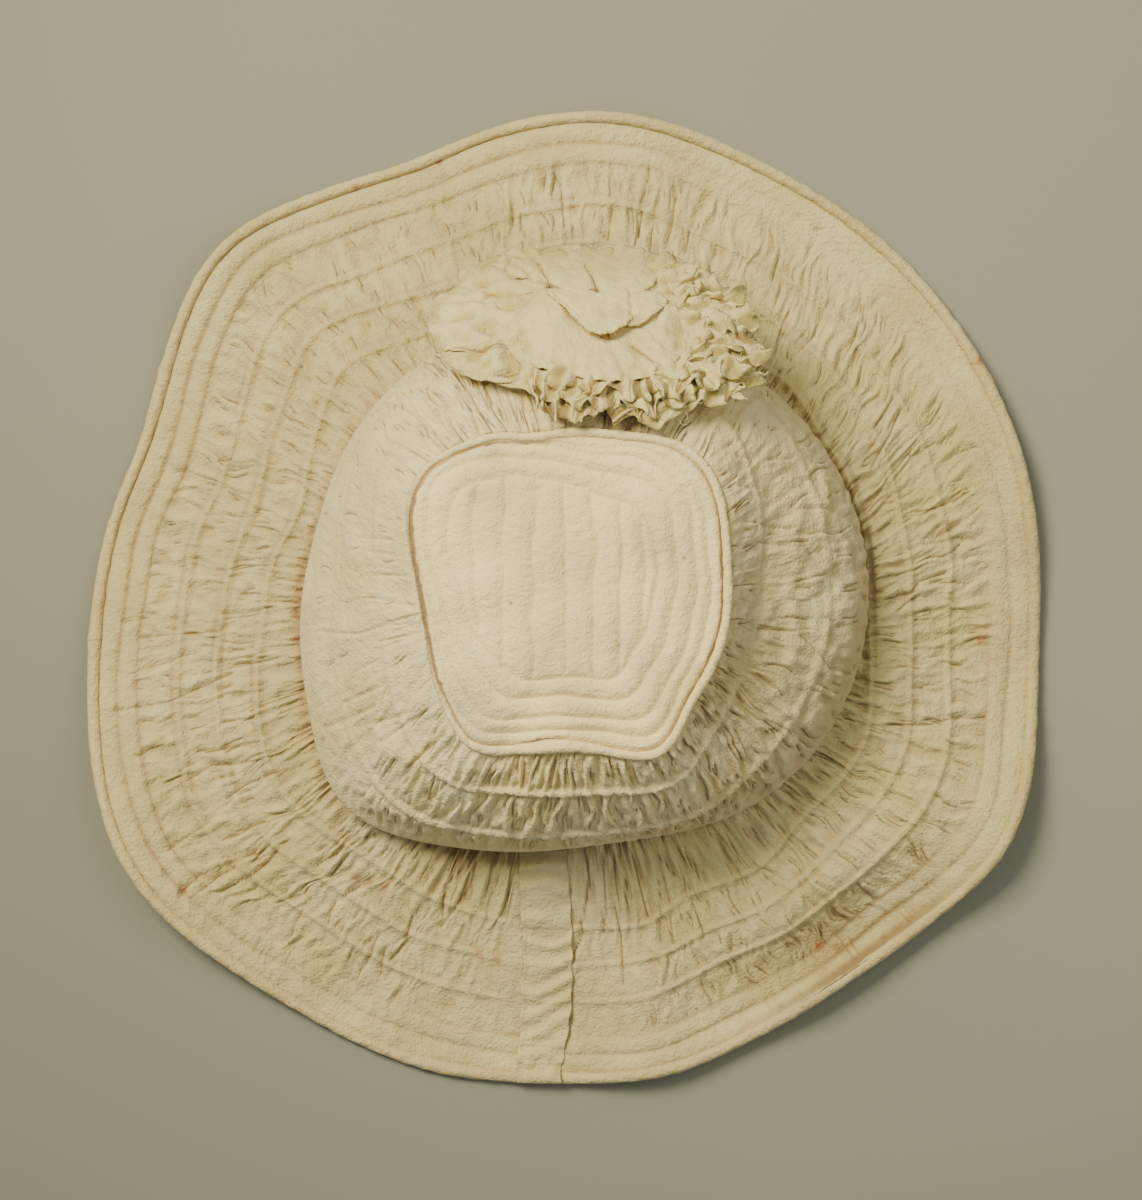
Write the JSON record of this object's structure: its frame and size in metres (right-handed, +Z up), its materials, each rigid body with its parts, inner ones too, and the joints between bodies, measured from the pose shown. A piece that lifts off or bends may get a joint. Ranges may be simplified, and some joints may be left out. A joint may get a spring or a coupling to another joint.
{
  "type": "sun hat",
  "caption": "Soft cotton sun hat with a wide corded and gathered brim, a low gathered crown, a quilted tip edged with piping and a ruffled rosette on the front.",
  "frame": {"origin": "middle of the hat's outline, on the floor that the brim rests on", "axes": "+Y to the front, where the rosette is; +X to the right seen from above with the front up; +Z up"},
  "size_m": [0.3535, 0.3608, 0.0911],
  "materials": {
    "corded_cotton": "matt gathered cotton, aged to cream",
    "edge_cotton": "matt cotton binding, yellowed",
    "quilted_cotton": "matt quilted cotton, pale cream",
    "rosette_muslin": "matt thin cotton with raw edges"
  },
  "bodies": {
    "root": {"brim": "corded_cotton", "brim_edge_roll": "edge_cotton", "back_placket": "corded_cotton", "crown_side": "corded_cotton", "crown_tip": "quilted_cotton", "tip_piping": "quilted_cotton", "rosette_outer_ruffle": "rosette_muslin", "rosette_petals": "rosette_muslin", "rosette_heart": "rosette_muslin"}
  },
  "joints": []
}
